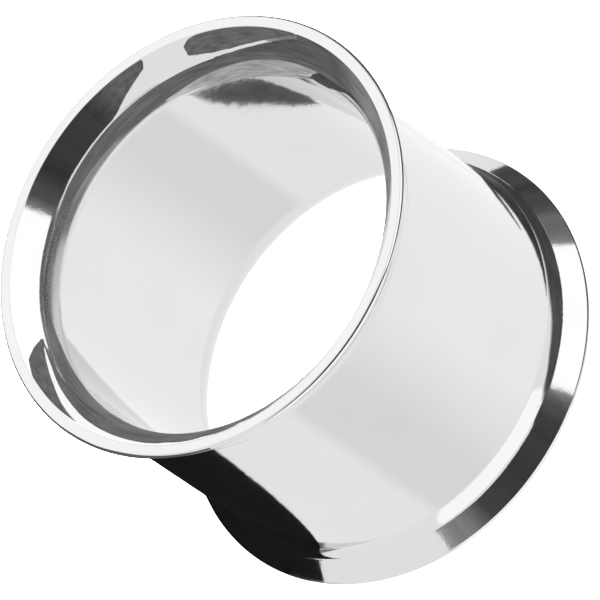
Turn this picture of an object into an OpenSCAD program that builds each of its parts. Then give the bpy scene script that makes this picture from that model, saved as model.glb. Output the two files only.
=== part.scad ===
// Ear tunnel: one piece of thin tube, flared at both ends and polished all over.
// It stands on the lip of its lower flare. Its axis is +Z, and z = 0 is the face it stands on.

/* [Tube] */
// outside diameter of the barrel, where the ear lobe sits
gauge = 14; // [8:0.5:24]
// thickness of the wall in the barrel
wall = 0.56; // [0.4:0.02:0.8]
// overall length along the axis, from lip to lip
length = 12; // [9:0.5:18]

/* [Flares] */
// how far each flare stands out past the barrel, measured on the radius
flare_rise = 0.8; // [0.7:0.05:1.6]
// angle between the straight part of a flare and the axis
flare_angle = 41; // [32:1:44]
// thickness of the wall in the straight part of a flare
flare_wall = 0.42; // [0.36:0.02:0.6]
// radius of the hollow bend outside, between the barrel and a flare
bend_radius = 1.05; // [0.6:0.05:1.4]
// radius of the rounded bend inside, between the bore and a flare
throat_radius = 1.3; // [0.6:0.1:1.6]

/* [Edges] */
// rounding of the outer edge of each lip
rim_round = 0.12; // [0.06:0.01:0.14]
// rounding of the inner edge of each lip
lip_round = 0.06; // [0.03:0.01:0.1]

/* [Hidden] */
$fn = 240;
// how far a cutting shape runs past the face it cuts
past = 1;
// a rounding's circle is cut this much larger than its radius, so that it crosses the faces it joins
bite = 1.002;
half_length = length / 2;
barrel_r = gauge / 2;
bore_r = barrel_r - wall;
// distances from a lip's corners, before rounding, to where the roundings begin
rim_reach = rim_round / tan((90 - flare_angle) / 2);
lip_reach = lip_round / tan((90 + flare_angle) / 2);
// radii where the flare's outer and inner faces would meet the lip's plane with no rounding
rim_r = barrel_r + flare_rise + rim_reach - rim_round;
lip_r = rim_r - flare_wall / cos(flare_angle);

// Everything between the axis and one face of the wall: tube, bends and cones, run on by extra
module filled(tube_r, bend, mouth_r, extra) {
    top = [mouth_r + extra * tan(flare_angle), half_length + extra];
    elbow_z = half_length - (mouth_r - tube_r) / tan(flare_angle);
    center = [tube_r + bend, elbow_z - bend * tan(flare_angle / 2)];
    // the outline steps out to the bend's centre and back, and the circle hollows out that step
    upper = [[tube_r, center[1]], center, center + bend * [-cos(flare_angle), sin(flare_angle)],
             top, [-extra, top[1]]];
    lower = [for (i = [len(upper) - 1:-1:0]) [upper[i][0], -upper[i][1]]];
    difference() {
        polygon(concat(upper, lower));
        for (side = [0, 1]) mirror([0, side]) translate(center) circle(r = bend * bite);
    }
}

// The sliver that a rounding takes off a lip's corner; side is +1 when the lip runs outward from it
module edge_sliver(r, reach, side, corner_r) {
    center = [side * reach, -r];
    translate([corner_r, half_length]) difference() {
        polygon([[side * reach, 0], -center, -reach * [sin(flare_angle), cos(flare_angle)], center]);
        translate(center) circle(r = r * bite);
    }
}

// The whole turned tube, one closed profile swept round the axis
module tunnel() {
    color("silver") translate([0, 0, half_length]) rotate_extrude() difference() {
        filled(barrel_r, bend_radius, rim_r, 0);
        filled(bore_r, throat_radius, lip_r, past);
        for (side = [0, 1]) mirror([0, side]) {
            edge_sliver(rim_round, rim_reach, -1, rim_r);
            edge_sliver(lip_round, lip_reach, 1, lip_r);
        }
    }
}

tunnel();
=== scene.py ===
# %% [markdown]
# # A polished ear tunnel
#
# An ear tunnel is a short, thin tube of surgical steel. It is worn in a stretched ear lobe, and a
# flare at each end keeps it there. This lesson takes the tube's measured frame, builds a smooth
# turned tube on it, polishes the steel, and lights it the way a jeweller's photographer would.

# %% Load the frame
from math import cos, degrees, pi, radians, sin, tan

import bpy
from mathutils import Matrix, Vector


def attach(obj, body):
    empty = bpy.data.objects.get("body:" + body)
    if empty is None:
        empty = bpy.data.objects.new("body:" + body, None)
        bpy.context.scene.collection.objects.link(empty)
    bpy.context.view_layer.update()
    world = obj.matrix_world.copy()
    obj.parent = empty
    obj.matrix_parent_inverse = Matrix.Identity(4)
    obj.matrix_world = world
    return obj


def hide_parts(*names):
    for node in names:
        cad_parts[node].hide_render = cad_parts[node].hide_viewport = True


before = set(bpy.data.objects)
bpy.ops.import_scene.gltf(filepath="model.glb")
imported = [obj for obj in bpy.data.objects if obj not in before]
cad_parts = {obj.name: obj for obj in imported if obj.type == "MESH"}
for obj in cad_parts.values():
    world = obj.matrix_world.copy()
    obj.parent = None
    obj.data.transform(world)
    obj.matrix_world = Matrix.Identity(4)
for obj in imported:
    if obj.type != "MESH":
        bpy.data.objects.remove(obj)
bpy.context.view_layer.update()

# %% [markdown]
# ## Sizes
#
# Everything here is in metres, so a tube of 14 mm is 0.014. One name for each size keeps the numbers
# of the real object in one place. The wall is thinner in the flares than in the barrel, because
# the flares were opened out from it.

# %% Sizes of the tube
MM = 0.001
BARREL = 7.0 * MM            # radius of the outside, where the lobe sits
BORE = 6.44 * MM             # radius of the hole
LENGTH = 12.0 * MM           # from lip to lip
RIM = 7.8 * MM               # widest radius of a flare
FLARE_WALL = 0.42 * MM
FLARE_ANGLE = radians(41)    # between the straight part of a flare and the axis
BEND = 1.05 * MM             # hollow bend outside
CREASE = 0.9 * MM            # rounded bend inside, its tight part next to the flare
THROAT = 2.0 * MM            # the same bend's wide part, which runs out into the bore
THROAT_TURN = radians(24)    # how far the wide part turns
RIM_ROUND = 0.12 * MM        # outer edge of a lip
LIP_ROUND = 0.06 * MM        # inner edge of a lip
MIDDLE = Vector((0, 0, LENGTH / 2))
print("barrel wall", round((BARREL - BORE) / MM, 2), "mm, flare rise", round((RIM - BARREL) / MM, 2), "mm")

# %% [markdown]
# ## The camera
#
# The photograph was taken from far away with a long lens, so the near and the far rim look
# almost the same size. The tube stands on its lower lip here, so the camera looks down at it
# from about 50 degrees. The picture is also turned about the line of sight: that makes the tube
# lean to the upper left, as in the photograph, while it really stands level on the floor.

# %% Make the camera
ELEVATION = radians(50.25)
ROLL = radians(-55.4)
DISTANCE = 0.49616
SHIFT_RIGHT, SHIFT_UP = 0.152 * MM, 0.043 * MM    # brings the tube to its place in the picture
LENS_MM, SENSOR_MM = 900, 36
NEAREST, FARTHEST = 0.01, 50                      # the camera draws what lies between, in metres

toward_camera = Vector((0, -cos(ELEVATION), sin(ELEVATION)))
level_right, level_up = Vector((1, 0, 0)), Vector((0, sin(ELEVATION), cos(ELEVATION)))
right = cos(ROLL) * level_right + sin(ROLL) * level_up
up = cos(ROLL) * level_up - sin(ROLL) * level_right
camera_place = MIDDLE + DISTANCE * toward_camera + SHIFT_RIGHT * right + SHIFT_UP * up

bpy.ops.object.camera_add(location=camera_place)
camera = bpy.context.object
camera.name = "camera"
camera.rotation_euler = Matrix((right, up, toward_camera)).transposed().to_euler()
camera.data.lens, camera.data.sensor_width = LENS_MM, SENSOR_MM
camera.data.clip_start, camera.data.clip_end = NEAREST, FARTHEST
bpy.context.scene.camera = camera
bpy.context.scene.view_settings.view_transform = "Standard"
print("camera is", round(1000 * camera_place.z), "mm above the floor")

# %% [markdown]
# ## Enough bounces for a mirror tube
#
# Inside a polished tube a ray of light bounces from wall to wall many times before it gets out.
# If the count of bounces is too low, such rays end early and leave black specks in the bend. More
# bounces cost time only where the tube really needs them.

# %% Let light bounce often
BOUNCES = 24
bpy.context.scene.cycles.max_bounces = BOUNCES
bpy.context.scene.cycles.glossy_bounces = BOUNCES
print("light may bounce", BOUNCES, "times")

# %% [markdown]
# ## Floor and soft light
#
# The floor is a light table, a plain white board that also glows evenly, as used for small
# jewellery. It leaves almost no shadow, and the hole of the tube shows clean white. Round it stands
# a white tent: here the world itself is the tent, an even soft light from every side, and one wide
# lamp above adds to it. The lamp and the table are kept out of the metal's reflections: a table
# that showed there would turn the barrel and the bore plain white.

# %% Floor, tent and lamp
FLOOR_WIDTH, FLOOR_COLOUR, FLOOR_GLOW = 8, (0.93, 0.93, 0.93), 0.85


def glowing_board(name, colour, glow):
    """A plain matt material that also glows evenly."""
    finish = bpy.data.materials.new(name)
    finish.use_nodes = True
    shader = finish.node_tree.nodes["Principled BSDF"]
    shader.inputs["Base Color"].default_value = (*colour, 1)
    shader.inputs["Roughness"].default_value = 0.9
    shader.inputs["Specular IOR Level"].default_value = 0.1
    shader.inputs["Emission Color"].default_value = (*colour, 1)
    shader.inputs["Emission Strength"].default_value = glow
    return finish


bpy.ops.object.select_all(action="DESELECT")
bpy.ops.mesh.primitive_plane_add(size=FLOOR_WIDTH, location=(0, 0, 0))
floor = bpy.context.object
floor.name = "floor"
floor.data.materials.append(glowing_board("pale_floor", FLOOR_COLOUR, FLOOR_GLOW))
floor.visible_glossy = False

TENT = 1.1
world = bpy.context.scene.world or bpy.data.worlds.new("tent")
bpy.context.scene.world = world
world.use_nodes = True
world.node_tree.nodes["Background"].inputs["Color"].default_value = (1, 1, 1, 1)
world.node_tree.nodes["Background"].inputs["Strength"].default_value = TENT

LAMP_HEIGHT, LAMP_WIDTH, LAMP_WATTS = 1.2, 0.9, 30
bpy.ops.object.light_add(type="AREA", location=(0, 0, LAMP_HEIGHT))
lamp = bpy.context.object
lamp.name = "wide_lamp"
lamp.data.shape, lamp.data.size = "DISK", LAMP_WIDTH
lamp.data.energy = LAMP_WATTS
lamp.visible_glossy = False
print("tent strength", TENT, "lamp", LAMP_WATTS, "W")

# %% [markdown]
# ## Cards in the metal
#
# Polished steel has no look of its own: it shows whatever stands around it. A photographer hangs
# dark and bright cards round the tube, and they give the steel its bands and patches. All cards
# here share one glowing material, which reads each card's brightness from the card's own points. A
# faint cloudiness keeps dark cards from looking like flat paint. A second version without clouds
# is for the bright ones.

# %% The glow that all cards share
NOISE_LOW, NOISE_HIGH = 0.3, 0.7          # most of a noise pattern lies between these
CLOUD_DARK, CLOUD_BRIGHT = 0.72, 1.28     # the clouds multiply a card's brightness by these

card_glow = bpy.data.materials.new("card_glow")
card_glow.use_nodes = True
glow_nodes, glow_links = card_glow.node_tree.nodes, card_glow.node_tree.links
glow_shader = glow_nodes["Principled BSDF"]
glow_shader.inputs["Base Color"].default_value = (0, 0, 0, 1)
glow_shader.inputs["Specular IOR Level"].default_value = 0.0
glow_shader.inputs["Emission Color"].default_value = (1, 1, 1, 1)
brightness = glow_nodes.new("ShaderNodeAttribute")
brightness.attribute_name = "brightness"
pattern = glow_nodes.new("ShaderNodeAttribute")
pattern.attribute_name = "pattern"
clouds = glow_nodes.new("ShaderNodeTexNoise")
clouds.inputs["Scale"].default_value = 7.0
clouds.inputs["Detail"].default_value = 6.0
cloud_range = glow_nodes.new("ShaderNodeMapRange")
cloud_range.inputs["From Min"].default_value = NOISE_LOW
cloud_range.inputs["From Max"].default_value = NOISE_HIGH
cloud_range.inputs["To Min"].default_value = CLOUD_DARK
cloud_range.inputs["To Max"].default_value = CLOUD_BRIGHT
cloudy = glow_nodes.new("ShaderNodeMath")
cloudy.operation = "MULTIPLY"
glow_links.new(pattern.outputs["Vector"], clouds.inputs["Vector"])
glow_links.new(clouds.outputs["Fac"], cloud_range.inputs["Value"])
glow_links.new(cloud_range.outputs["Result"], cloudy.inputs[0])
glow_links.new(brightness.outputs["Fac"], cloudy.inputs[1])
glow_links.new(cloudy.outputs["Value"], glow_shader.inputs["Emission Strength"])
even_glow = card_glow.copy()
even_glow.name = "even_glow"
even_range = next(node for node in even_glow.node_tree.nodes if node.type == "MAP_RANGE")
even_range.inputs["To Min"].default_value = 1.0
even_range.inputs["To Max"].default_value = 1.0
print("card materials:", card_glow.name, even_glow.name)

# %% [markdown]
# ## Hanging a card
#
# A card is a thin panel made from columns of points. The helper gives every point two attributes
# for the material: its brightness, and its place across the card from 0 to 1, which the clouds
# follow. The panel shows only in reflections, so it neither shades the floor nor blocks a view.

# %% A helper that hangs a card
def hang(name, columns, finish):
    """Makes a panel from columns of (place, brightness) pairs and shows it in reflections only."""
    tall = len(columns[0])
    points = [place for column in columns for place, _ in column]
    faces = [(i * tall + r, (i + 1) * tall + r, (i + 1) * tall + r + 1, i * tall + r + 1)
             for i in range(len(columns) - 1) for r in range(tall - 1)]
    mesh = bpy.data.meshes.new(name)
    mesh.from_pydata(points, [], faces)
    tones = mesh.attributes.new("brightness", "FLOAT", "POINT")
    tones.data.foreach_set("value", [tone for column in columns for _, tone in column])
    low = [min(point[axis] for point in points) for axis in range(3)]
    size = [max(point[axis] for point in points) - low[axis] or 1.0 for axis in range(3)]
    across = mesh.attributes.new("pattern", "FLOAT_VECTOR", "POINT")
    shares = [(point[axis] - low[axis]) / size[axis] for point in points for axis in range(3)]
    across.data.foreach_set("vector", shares)
    mesh.materials.append(finish)
    panel = bpy.data.objects.new(name, mesh)
    bpy.context.collection.objects.link(panel)
    panel.visible_camera = False
    panel.visible_diffuse = False
    panel.visible_shadow = False
    print(name, "has", len(faces), "faces")
    return panel


def between(first, last, share):
    """The values a share of the way from one station to the next."""
    return [a + (b - a) * share for a, b in zip(first, last)]


# %% [markdown]
# ## Far cards
#
# Each far card is a curved panel on a big ball round the tube. It is given by stations: a compass
# direction seen from the tube, the lowest and highest angle of the card there, and its brightness,
# which changes smoothly from one station to the next. The camera stands at 270 degrees. A dark
# card that hangs low can fade to white over its lowest part. Without that, its lower edge would
# look frayed in a barrel that is seen from the same angle above.

# %% A helper for far cards
CARD_DISTANCE = 2.0
COLUMN_DEGREES = 4    # a far card has a column of points about this often
WHITE = 1.15          # the brightness that a fading card ends in


def sky_point(compass, height):
    """The place on the big ball in that compass direction and at that angle above the horizon."""
    a, h = radians(compass), radians(height)
    return CARD_DISTANCE * Vector((cos(a) * cos(h), sin(a) * cos(h), sin(h))) + MIDDLE


def far_card(name, stations, finish=card_glow, rows=12, fade=0.0):
    """Hangs a far card over stations of (compass, lowest, highest, brightness).

    Over its lowest fade degrees the card turns white.
    """
    columns = []
    for first, last in zip(stations, stations[1:]):
        steps = max(1, round((last[0] - first[0]) / COLUMN_DEGREES))
        for k in range(steps + 1):
            compass, low, high, tone = between(first, last, k / steps)
            column = []
            for r in range(rows + 1):
                above = (high - low) * r / rows
                whiter = max(0.0, 1 - above / fade) if fade else 0.0
                column.append((sky_point(compass, low + above), tone + (WHITE - tone) * whiter))
            columns.append(column)
    return hang(name, columns, finish)


# %% [markdown]
# ## Where the far cards hang
#
# The dark card behind the camera makes the dark patch on the upper flare. The bright ones beside
# it make the white patches. The low dark cards are seen in the inner bend and where a flare faces
# sideways. The barrel and the bore stand upright, so they mirror what hangs about 50 degrees below
# the horizon, as far below it as the camera is above. That has to be a quiet, light tone.

# %% The far cards above the horizon
far_card("card_camera", [(220, 20, 60, 0.34), (236, 23, 75, 0.26), (243, 25, 75, 0.09),
                         (262, 25, 75, 0.055), (284, 24, 75, 0.055), (287, 18, 75, 0.07),
                         (298, 18, 75, 0.10), (304, 20, 75, 0.24)])
far_card("card_smear", [(289, 4, 18, 0.6), (292, 4, 18, 0.4), (296, 6, 18, 0.6)])
far_card("card_bright", [(305, 24, 60, 1.5), (315, 20, 60, 1.5), (330, 17, 60, 1.5), (345, 13, 60, 1.5),
                         (356, 9, 60, 1.5), (366, 6, 50, 1.5)], even_glow)
far_card("card_front", [(225, -40, 16, 1.4), (300, -40, 16, 1.4)], even_glow)

# %% The low far cards
far_card("card_flare", [(366, 6, 32, 0.26), (376, 3, 29, 0.20), (384, -1, 25, 0.10), (392, -5, 18, 0.07),
                        (404.5, -12, 10, 0.09)])
far_card("card_low", [(296, 8, 24, 0.20), (301, -3, 24, 0.11), (307, -10, 22, 0.09),
                      (315, -20, 20, 0.10), (330, -29, 17, 0.11), (345, -41, 13, 0.10),
                      (356, -47, 9, 0.09), (366, -47, 6, 0.08), (380, -47, 1, 0.07),
                      (392, -47, -5, 0.06), (402, -47, -12, 0.08), (420, -47, -25, 0.2)],
         rows=40, fade=9)
far_card("card_behind", [(62, -47, 0, 0.5), (92, -47, 3, 0.5), (120, -47, 3, 0.45), (150, -47, 5, 0.3),
                         (167, -47, 9, 0.25)], rows=40, fade=9)
far_card("card_lip", [(55, 32, 68, 1.35), (125, 32, 68, 1.35)], even_glow)
far_card("card_below", [(164, -54, -47, 1.10), (214, -54, -47, 1.14), (222, -54, -47, 0.99),
                        (250, -54, -47, 0.99), (275, -54, -47, 1.10), (300, -54, -47, 1.20),
                        (420, -54, -47, 1.18)], even_glow)

# %% [markdown]
# ## The tube's section
#
# A lathe or a press makes the real tunnel: every point of it runs round the same axis. So the
# whole shape is in its section, a thin closed outline. It has straight stretches and true arcs,
# and an arc is written as a formula rather than as a list of points. The arcs meet the straight
# stretches without a corner, because a mirror polish shows every corner as a break. An extra point
# close to each end of a straight stretch holds it straight when the shading is made smooth.

# %% Points of the section
ARC_STEP = radians(1.8)
HOLD = 0.012 * MM    # how far an extra point stands from the end of its stretch


def arc(centre_r, centre_z, radius, start, end, step=ARC_STEP):
    """Points of an arc round a centre, as (radius, height); angles count from straight outward."""
    count = max(4, round(abs(end - start) / step))
    return [(centre_r + radius * cos(start + (end - start) * k / count),
             centre_z + radius * sin(start + (end - start) * k / count)) for k in range(count + 1)]


rim_reach = RIM_ROUND / tan((pi / 2 - FLARE_ANGLE) / 2)
lip_reach = LIP_ROUND / tan((pi / 2 + FLARE_ANGLE) / 2)
rim_corner = RIM + rim_reach - RIM_ROUND
lip_corner = rim_corner - FLARE_WALL / cos(FLARE_ANGLE)
half = LENGTH / 2
bend_z = half - (rim_corner - BARREL) / tan(FLARE_ANGLE) - BEND * tan(FLARE_ANGLE / 2)
throat_r = BORE + THROAT
turn_r = throat_r - THROAT * cos(THROAT_TURN)
crease_r = turn_r + CREASE * cos(THROAT_TURN)
crease_drop = (lip_corner - crease_r + CREASE * cos(FLARE_ANGLE)) / tan(FLARE_ANGLE)
crease_z = half - crease_drop - CREASE * sin(FLARE_ANGLE)
throat_z = crease_z + (CREASE - THROAT) * sin(THROAT_TURN)

upper_half = [
    arc(BARREL + BEND, bend_z, BEND, pi, pi - FLARE_ANGLE),
    arc(rim_corner - rim_reach, half - RIM_ROUND, RIM_ROUND, -FLARE_ANGLE, pi / 2, radians(5)),
    arc(lip_corner + lip_reach, half - LIP_ROUND, LIP_ROUND, pi / 2, pi - FLARE_ANGLE, radians(6)),
    arc(crease_r, crease_z, CREASE, pi - FLARE_ANGLE, pi - THROAT_TURN),
    arc(throat_r, throat_z, THROAT, pi - THROAT_TURN, pi),
]
lower_half = [[(r, -z) for r, z in reversed(part)] for part in reversed(upper_half)]
section = []
for part in upper_half + lower_half + [upper_half[0][:1]]:
    if section:
        (r0, z0), (r1, z1) = section[-1], part[0]
        span = ((r1 - r0) ** 2 + (z1 - z0) ** 2) ** 0.5
        if span > 8 * HOLD:
            share = HOLD / span
            section += [(r0 + (r1 - r0) * share, z0 + (z1 - z0) * share),
                        (r1 - (r1 - r0) * share, z1 - (z1 - z0) * share)]
    section += part
section = [(r, z + half) for r, z in section[:-1]]
lip_width = rim_corner - rim_reach - lip_corner - lip_reach
print("section has", len(section), "points; lip is", round(lip_width / MM, 3), "mm wide")

# %% [markdown]
# ## Cards close to the tube
#
# A far card shows in every part of the tube that faces the same way. Some patches end where the
# steel doesn't turn, so only a card close to it can give them. Such a card is placed by following
# the camera's line of sight: from a spot on the steel, mirrored there, and on to where the card
# stands. A patch is then simply given as an area of the steel. The price is that these cards are
# right from this camera only. From other sides they show as patches of other shapes, and the
# exported model has none of them. First comes a helper for one spot and the way it faces, and one
# that follows the mirrored line.

# %% Follow a mirrored line of sight
def spot(azimuth, radius, height, tilt, inward):
    """A place on the steel and the way it faces; tilt is how far it faces up from level."""
    a, e = radians(azimuth), radians(tilt)
    side = -1 if inward else 1
    return (Vector((radius * cos(a), radius * sin(a), height)),
            Vector((side * cos(a) * cos(e), side * sin(a) * cos(e), sin(e))))


def mirrored(place, facing, reach):
    """Where the camera's line of sight gets to, reach metres after the steel mirrors it."""
    return place + reach * (place - camera_place).normalized().reflect(facing)


barrel_front = spot(270, BARREL, LENGTH / 2, 0, False)
one_metre_on = mirrored(*barrel_front, 1.0)
print("the barrel's front mirrors the place", [round(v, 2) for v in one_metre_on])

# %% [markdown]
# ## The faces of the tube
#
# Each face has its own way to name a spot. On the straight flares it is an angle round the axis
# and a radius in millimetres, on the bore and the barrel an angle and a height. On the bends and
# the rounded rim it is an angle round the axis and how far the face has turned there, in degrees.

# %% Name a spot on each face
def inner_cone(azimuth, radius):
    return spot(azimuth, radius * MM, LENGTH - (lip_corner - radius * MM) / tan(FLARE_ANGLE),
                degrees(FLARE_ANGLE), True)


def outer_cone(azimuth, radius):
    return spot(azimuth, radius * MM, (rim_corner - radius * MM) / tan(FLARE_ANGLE),
                degrees(FLARE_ANGLE), False)


def inner_bend(azimuth, turn):
    e = radians(turn)
    tight = turn > degrees(THROAT_TURN)
    centre_r, centre_z, bend = (crease_r, crease_z, CREASE) if tight else (throat_r, throat_z, THROAT)
    return spot(azimuth, centre_r - bend * cos(e), half + centre_z + bend * sin(e), turn, True)


def outer_bend(azimuth, turn):
    e = radians(turn)
    return spot(azimuth, BARREL + BEND - BEND * cos(e), half + bend_z + BEND * sin(e), -turn, False)


def bore(azimuth, height):
    return spot(azimuth, BORE, height * MM, 0, True)


def barrel(azimuth, height):
    return spot(azimuth, BARREL, height * MM, 0, False)


def rim(azimuth, turn):
    e = radians(turn)
    return spot(azimuth, rim_corner - rim_reach + RIM_ROUND * cos(e),
                LENGTH + RIM_ROUND * (sin(e) - 1), turn, False)


print("the upper flare's lip starts at a radius of", round(rim(0, 90)[0].x / MM, 2), "mm")

# %% [markdown]
# ## A helper for near cards
#
# The card's reach is how far it stands from the steel along the mirrored line. In the bends it is
# short, because a hollow mirror brings its lines together in a point and turns them over behind
# it. On the straight flares it can be a little longer. A bright card with the shorter reach covers
# a dark one, so two cards can share one clean edge.

# %% Place a near card
STATION_STEPS = 4    # columns of points from one station of a near card to the next


def near_card(name, tone, surface, reach, stations, finish=card_glow, rows=6):
    """Places a card where an area of the steel mirrors it.

    Stations are (azimuth, low, high), and a fourth number sets a brightness of their own.
    """
    columns = []
    for first, last in zip(stations, stations[1:]):
        first, last = (*first, tone)[:4], (*last, tone)[:4]
        for k in range(STATION_STEPS + 1):
            azimuth, low, high, shade = between(first, last, k / STATION_STEPS)
            column = [surface(azimuth, low + (high - low) * r / rows) for r in range(rows + 1)]
            columns.append([(mirrored(place, facing, reach(place)), shade) for place, facing in column])
    return hang(name, columns, finish)


def reach_of(distance):
    """The same reach everywhere."""
    return lambda place: distance


def down_to(height):
    """The reach that takes a line mirrored in an upright face down to that height."""
    return lambda place: (place.z - height) / sin(ELEVATION)


DARK_REACH, WHITE_REACH, BEND_REACH = reach_of(0.45 * MM), reach_of(0.35 * MM), reach_of(0.1 * MM)
print("the reach down to the table is", round(down_to(0)(MIDDLE) / MM, 1), "mm from half way up")

# %% [markdown]
# ## The right side of the upper flare
#
# The photograph shows a dark patch here, a thin bright line under it and a broad dark band, and
# below that a light grey zone with a dark crescent at its right end. The bright line is just the
# gap that two cards leave between them.

# %% Cards for the right side
near_card("card_over", 0.19, inner_cone, DARK_REACH, [
    (12, 7.33, 7.5), (14, 7.28, 7.5), (21, 7.1, 7.5), (28, 6.97, 7.5), (35, 6.88, 7.48), (41, 6.87, 7.42),
    (46, 6.93, 7.32), (48, 6.97, 7.2)])
near_card("card_band", 0.145, inner_cone, DARK_REACH, [
    (-64, 6.7, 6.72, 0.28), (-42, 6.7, 7.5, 0.28), (-14, 6.7, 7.5, 0.28), (-4, 6.7, 7.5), (11, 6.7, 7.5),
    (11.5, 6.7, 7.25), (14, 6.7, 7.2), (21, 6.7, 7.03), (28, 6.7, 6.9), (35, 6.7, 6.8), (41, 6.7, 6.76)])
near_card("card_bend_band", 0.18, inner_bend, BEND_REACH, [
    (-14, 36, 41), (-4, 27, 41), (4, 26, 41), (14, 26, 41), (20, 24, 41), (30, 22, 41), (37.5, 19, 41),
    (48, 15, 37), (56, 11, 35), (64, 9, 35), (80, 12, 34), (100, 16, 32), (112, 22, 26)])
near_card("card_throat", 0.5, inner_bend, BEND_REACH, [
    (5, 25, 26), (9.5, 15, 25), (12, 4, 26), (20, 0, 24), (30, 0, 22), (37.5, 0, 19), (48, 0, 15),
    (56, 3, 11, 0.7), (62, 8, 9, 0.9)])
near_card("card_throat_low", 0.5, bore, BEND_REACH, [
    (12, 10.15, 10.23), (22, 9.9, 10.23), (30, 9.95, 10.23), (46, 10.0, 10.23), (56, 10.15, 10.23, 0.7)])
near_card("card_bend_right", 0.09, inner_bend, BEND_REACH, [
    (-20, 40, 41), (-11.6, 31, 41), (-3.6, 14.5, 27.5), (0, 7, 26.5), (4, 0, 26), (8, 0, 17), (10, 0, 9)])
near_card("card_bore_right", 0.09, bore, BEND_REACH, [
    (2, 10.2, 10.25), (5, 10.0, 10.25), (7.5, 9.82, 10.25), (10, 10.1, 10.25)])

# %% [markdown]
# ## The left side of the upper flare
#
# Here the dark patch of the far side ends in a slanting tip, with a white gap beyond it. Lower
# down lies a small dark leaf, and a white wedge parts it from the dark of the bend. About half of
# the cards' ends are drawn to a point. A blunt end can show as a hard edge from other sides.

# %% Cards for the left side
near_card("card_tip", 0.17, inner_cone, DARK_REACH, [
    (60, 7.3, 7.5), (61, 7.17, 7.5), (64.8, 7.05, 7.5), (69.6, 6.92, 7.5), (74, 6.78, 7.5, 0.12),
    (80, 6.7, 7.5, 0.055)])
near_card("card_gap", 1.1, inner_cone, WHITE_REACH, [
    (56, 6.7, 7.5), (60, 6.7, 7.3), (61, 6.7, 7.17), (64.8, 6.7, 7.05), (69.6, 6.7, 6.92), (74, 6.7, 6.78),
    (77, 6.69, 6.7)], even_glow)
near_card("card_patch", 0.2, inner_cone, DARK_REACH, [
    (148, 6.76, 6.9), (151, 6.76, 7.15), (155, 6.76, 7.3), (161, 6.8, 7.42), (185, 6.8, 7.42)])
near_card("card_lip_left", 1.5, inner_cone, WHITE_REACH, [
    (146, 6.77, 7.5), (148.3, 6.84, 7.5), (151, 7.06, 7.5), (154.6, 7.26, 7.5), (160.8, 7.37, 7.5),
    (170, 7.37, 7.5), (178, 7.35, 7.5), (186, 7.33, 7.5)], even_glow)
near_card("card_wedge", 1.4, inner_cone, WHITE_REACH, [
    (151, 6.79, 6.81), (158, 6.82, 6.91), (165, 6.91, 7.02), (173, 6.99, 7.19), (181, 7.09, 7.33),
    (186, 7.13, 7.45), (200, 7.22, 7.45), (245, 7.24, 7.45), (262, 7.4, 7.45)], even_glow)
near_card("card_front_dark", 0.2, inner_cone, DARK_REACH, [
    (160, 6.7, 6.84), (172, 6.7, 7.02), (181, 6.7, 7.15), (200, 6.7, 7.3), (245, 6.7, 7.3),
    (275, 6.7, 6.72)])
near_card("card_bend_left", 0.22, inner_bend, BEND_REACH, [
    (138, 20, 22), (150, 12, 30), (165, 8, 34), (200, 5, 40), (240, 5, 40), (270, 20, 24)])

# %% [markdown]
# ## Under the rim and along it
#
# A rounded rim mirrors a very wide view in a very thin line. In the photograph that line is dark
# at the lower left and at the upper right, and it draws the ring's outline on the white ground.
# Without it the ring would fade into the background.

# %% Cards for the rim
RIM_CARD_REACH = reach_of(0.2 * MM)

near_card("card_under", 0.08, outer_bend, reach_of(0.6 * MM), [
    (200, 8, 13), (215, 12, 23), (240, 20, 33), (270, 26, 38), (300, 20, 33), (325, 12, 23)])
near_card("card_rim_left", 0.15, rim, RIM_CARD_REACH, [
    (100, 2, 20), (125, 2, 55), (150, 2, 64), (205, 2, 64), (225, 2, 40)])
near_card("card_rim_right", 0.15, rim, RIM_CARD_REACH, [
    (-40, 2, 20), (-15, 2, 62), (25, 2, 62), (45, 2, 40), (60, 2, 10)])

# %% [markdown]
# ## Below and beside the tube
#
# The bore and the barrel mirror what lies under the tube and beside it. A crescent under the table
# gives the dark one in the bore. A black sheet on the table gives the black part of the barrel, at
# the lower left. It begins at the foot of the tube and fans out from there. Two small cards darken
# the left side of the lower flare and the foot of the barrel.

# %% Cards below and beside
near_card("card_corner", 0.01, outer_cone, reach_of(10 * MM), [(180, 6.8, 7.85), (203.5, 6.8, 7.85)])
near_card("card_crescent", 0.11, bore, down_to(-8 * MM), [
    (55.2, 9.7, 9.95), (51, 8.8, 10.1), (46.8, 8.3, 10.14), (41.7, 7.9, 10.14), (35.4, 7.5, 10.05),
    (31, 7.4, 9.6), (25.2, 7.5, 9.0)])
near_card("card_foot", 0.08, barrel, down_to(0.01 * MM), [
    (332, 2.35, 2.45), (337, 2.55, 2.95), (341, 2.7, 3.25), (346, 2.85, 3.35), (351, 3.0, 3.2)])

# %% The black sheet beside the tube
FOOTPRINT = 7.76 * MM             # the sheet begins at this radius, close inside the flare's edge
SHEET_HEIGHT = 0.02 * MM          # above the table
SHEET_LENGTH = 0.08
SHEET_BLACK = 0.012
FIRST, LAST = (96, 86), (198.5, 178.5)    # azimuth at the tube's foot, and the way outward from it
SHEET_STEPS = 20

beside = []
for k in range(SHEET_STEPS + 1):
    azimuth, way = between(FIRST, LAST, k / SHEET_STEPS)
    a, w = radians(azimuth), radians(way)
    start = Vector((FOOTPRINT * cos(a), FOOTPRINT * sin(a), SHEET_HEIGHT))
    end = start + SHEET_LENGTH * Vector((cos(w), sin(w), 0))
    beside.append([(start, SHEET_BLACK), (end, SHEET_BLACK)])
hang("card_beside", beside, card_glow)

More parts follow.
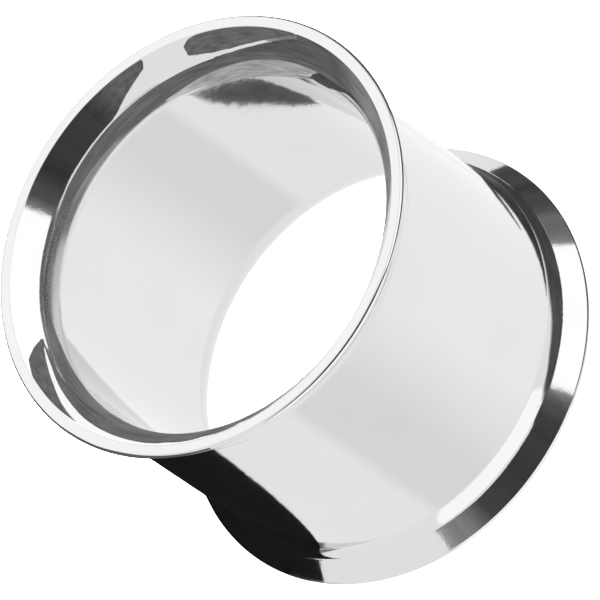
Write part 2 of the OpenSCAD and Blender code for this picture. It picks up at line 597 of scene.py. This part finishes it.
# %% [markdown]
# ## Sweep the section round the axis
#
# The tube could be spun from its section, or a thick cylinder could be carved down to it. Here one
# ring of points is added and extruded from station to station, each time moved up or down and
# scaled to the next radius. It is the same job as shaping clay on a wheel, and every ring stays
# a true circle. The last ring lands on the first, and merging the doubles closes the tube.

# %% Extrude the ring along the section
ROUND = 400             # points round the tube
MERGE = 0.0005 * MM     # points closer than this become one

bpy.ops.object.select_all(action="DESELECT")
first_r, first_z = section[0]
bpy.ops.mesh.primitive_circle_add(vertices=ROUND, radius=first_r, fill_type="NOTHING",
                                  location=(0, 0, 0))
tube = bpy.context.object
tube.name = "polished_tube"
bpy.ops.object.mode_set(mode="EDIT")
bpy.ops.mesh.select_all(action="SELECT")
bpy.ops.transform.translate(value=(0, 0, first_z))
for (r0, z0), (r1, z1) in zip(section, section[1:] + section[:1]):
    bpy.ops.mesh.extrude_region_move(TRANSFORM_OT_translate={"value": (0, 0, z1 - z0)})
    bpy.ops.transform.resize(value=(r1 / r0, r1 / r0, 1), center_override=(0, 0, z1))
bpy.ops.mesh.select_all(action="SELECT")
bpy.ops.mesh.remove_doubles(threshold=MERGE)
bpy.ops.mesh.normals_make_consistent(inside=False)
bpy.ops.object.mode_set(mode="OBJECT")
bpy.ops.object.shade_smooth()
print(tube.name, "has", len(tube.data.vertices), "points and", 2 * len(tube.data.polygons), "triangles")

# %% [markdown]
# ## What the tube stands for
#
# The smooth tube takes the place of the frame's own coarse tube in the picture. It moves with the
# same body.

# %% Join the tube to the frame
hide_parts("tunnel")
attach(tube, "root")
print("outer radius", round(max(v.co.xy.length for v in tube.data.vertices) / MM, 4), "mm")

# %% [markdown]
# ## Polished steel
#
# The real finish comes off a buffing wheel: nearly a mirror, with hair-fine marks that run round
# the tube and a faint unevenness that ruffles the edges of reflections. A flat mirror would look
# drawn. So the shader is fully metallic, its roughness wanders a little, and a very low bump
# adds the fine grain and the marks. All of it reads Object coordinates, in metres.

# %% Make the steel
steel = bpy.data.materials.new("polished_steel")
steel.use_nodes = True
nodes, links = steel.node_tree.nodes, steel.node_tree.links
shader = nodes["Principled BSDF"]
shader.inputs["Metallic"].default_value = 1.0
place = nodes.new("ShaderNodeTexCoord")


def noise(scale, stretch=(1, 1, 1), detail=3.0):
    """A noise pattern on Object coordinates with features about 1/scale metres across."""
    mapping = nodes.new("ShaderNodeMapping")
    mapping.inputs["Scale"].default_value = stretch
    pattern = nodes.new("ShaderNodeTexNoise")
    pattern.inputs["Scale"].default_value = scale
    pattern.inputs["Detail"].default_value = detail
    links.new(place.outputs["Object"], mapping.inputs["Vector"])
    links.new(mapping.outputs["Vector"], pattern.inputs["Vector"])
    return pattern.outputs["Fac"]


def spread(value, low, high):
    """Brings a pattern that runs from 0 to 1 into the range from low to high."""
    remap = nodes.new("ShaderNodeMapRange")
    remap.inputs["From Min"].default_value = NOISE_LOW
    remap.inputs["From Max"].default_value = NOISE_HIGH
    remap.inputs["To Min"].default_value = low
    remap.inputs["To Max"].default_value = high
    links.new(value, remap.inputs["Value"])
    return remap.outputs["Result"]


def value_range(value, low_in, high_in, low_out, high_out):
    """Carries a value over smoothly from one range into another."""
    remap = nodes.new("ShaderNodeMapRange")
    remap.interpolation_type = "SMOOTHSTEP"
    ends = {"From Min": low_in, "From Max": high_in, "To Min": low_out, "To Max": high_out}
    for name, number in ends.items():
        remap.inputs[name].default_value = number
    links.new(value, remap.inputs["Value"])
    return remap.outputs["Result"]


def work_out(operation, first, second):
    """One step of arithmetic; each of the two may be a number or another node's value."""
    step = nodes.new("ShaderNodeMath")
    step.operation = operation
    for socket, value in zip(step.inputs, (first, second)):
        if isinstance(value, (int, float)):
            socket.default_value = value
        else:
            links.new(value, socket)
    return step.outputs["Value"]


# %% [markdown]
# ## Where the buffing wheel doesn't reach
#
# A wheel polishes the bore and the flares well but can't get right into the bend between them, so
# that stays a little satin. The mask for it is worked out from the place itself: near the ends of
# the tube, and close to the bore.

# %% Make a mask of the inner bends
SATIN_FROM, SATIN_ALL = 4.1 * MM, 4.7 * MM       # heights above or below the middle
SATIN_INSIDE, SATIN_END = 6.66 * MM, 6.74 * MM   # radii

parts = nodes.new("ShaderNodeSeparateXYZ")
links.new(place.outputs["Object"], parts.inputs["Vector"])
x, y, z = (parts.outputs[axis] for axis in "XYZ")
radius = work_out("SQRT", work_out("ADD", work_out("MULTIPLY", x, x), work_out("MULTIPLY", y, y)), 0)
from_middle = work_out("ABSOLUTE", work_out("SUBTRACT", z, LENGTH / 2), 0)
in_bend = work_out("MULTIPLY", value_range(from_middle, SATIN_FROM, SATIN_ALL, 0, 1),
                   value_range(radius, SATIN_INSIDE, SATIN_END, 1, 0))
print("the throats lie", round(throat_z / MM, 2), "to", round(crease_z / MM, 2), "mm from the middle")

# %% [markdown]
# ## Roughness and colour
#
# Roughness decides how sharp a reflection is. Here it wanders a little, as if hands had touched
# the steel, and rises in the bends. The colour hardly changes: steel is a nearly neutral grey that
# gives back about two thirds of the light.

# %% Set roughness and colour
BRIGHTEST, DULLEST, SATIN = 0.055, 0.085, 0.13    # the polish's two ends, and what the bends add
STEEL_DARK, STEEL_LIGHT = (0.65, 0.65, 0.645, 1), (0.68, 0.68, 0.68, 1)

smudges = noise(350)
polish = spread(smudges, BRIGHTEST, DULLEST)
links.new(work_out("ADD", polish, work_out("MULTIPLY", in_bend, SATIN)), shader.inputs["Roughness"])

tint = nodes.new("ShaderNodeMix")
tint.data_type = "RGBA"
tint.inputs["A"].default_value = STEEL_DARK
tint.inputs["B"].default_value = STEEL_LIGHT
links.new(smudges, tint.inputs["Factor"])
links.new(tint.outputs["Result"], shader.inputs["Base Color"])

print("roughness from", BRIGHTEST, "to", DULLEST, "and", SATIN, "more in the bends")

# %% [markdown]
# ## Grain, marks and waves
#
# Three very low bumps are stacked. The grain is the finest and is almost absent in the bends. The
# marks are stretched round the tube, as a wheel leaves them. The waves are wider, and they ruffle
# the edges of reflections. All heights are below a hundredth of a millimetre: the waves are the
# highest.

# %% Stack the bumps
GRAIN_HEIGHT, MARKS_HEIGHT, WAVE_HEIGHT = 0.0007 * MM, 0.0003 * MM, 0.004 * MM
GRAIN_IN_BENDS = 0.15    # the share of the grain that is left there

grain_bump = nodes.new("ShaderNodeBump")
grain_bump.inputs["Distance"].default_value = GRAIN_HEIGHT
links.new(value_range(in_bend, 0, 1, 1, GRAIN_IN_BENDS), grain_bump.inputs["Strength"])
links.new(noise(13000, detail=2.0), grain_bump.inputs["Height"])
marks_bump = nodes.new("ShaderNodeBump")
marks_bump.inputs["Distance"].default_value = MARKS_HEIGHT
marks_bump.inputs["Strength"].default_value = 1.0
links.new(noise(900, stretch=(1, 1, 18)), marks_bump.inputs["Height"])
links.new(grain_bump.outputs["Normal"], marks_bump.inputs["Normal"])
wave_bump = nodes.new("ShaderNodeBump")
wave_bump.inputs["Distance"].default_value = WAVE_HEIGHT
wave_bump.inputs["Strength"].default_value = 1.0
links.new(noise(1300, detail=2.0), wave_bump.inputs["Height"])
links.new(marks_bump.outputs["Normal"], wave_bump.inputs["Normal"])
links.new(wave_bump.outputs["Normal"], shader.inputs["Normal"])
tube.data.materials.append(steel)
print("steel has", len(nodes), "nodes")
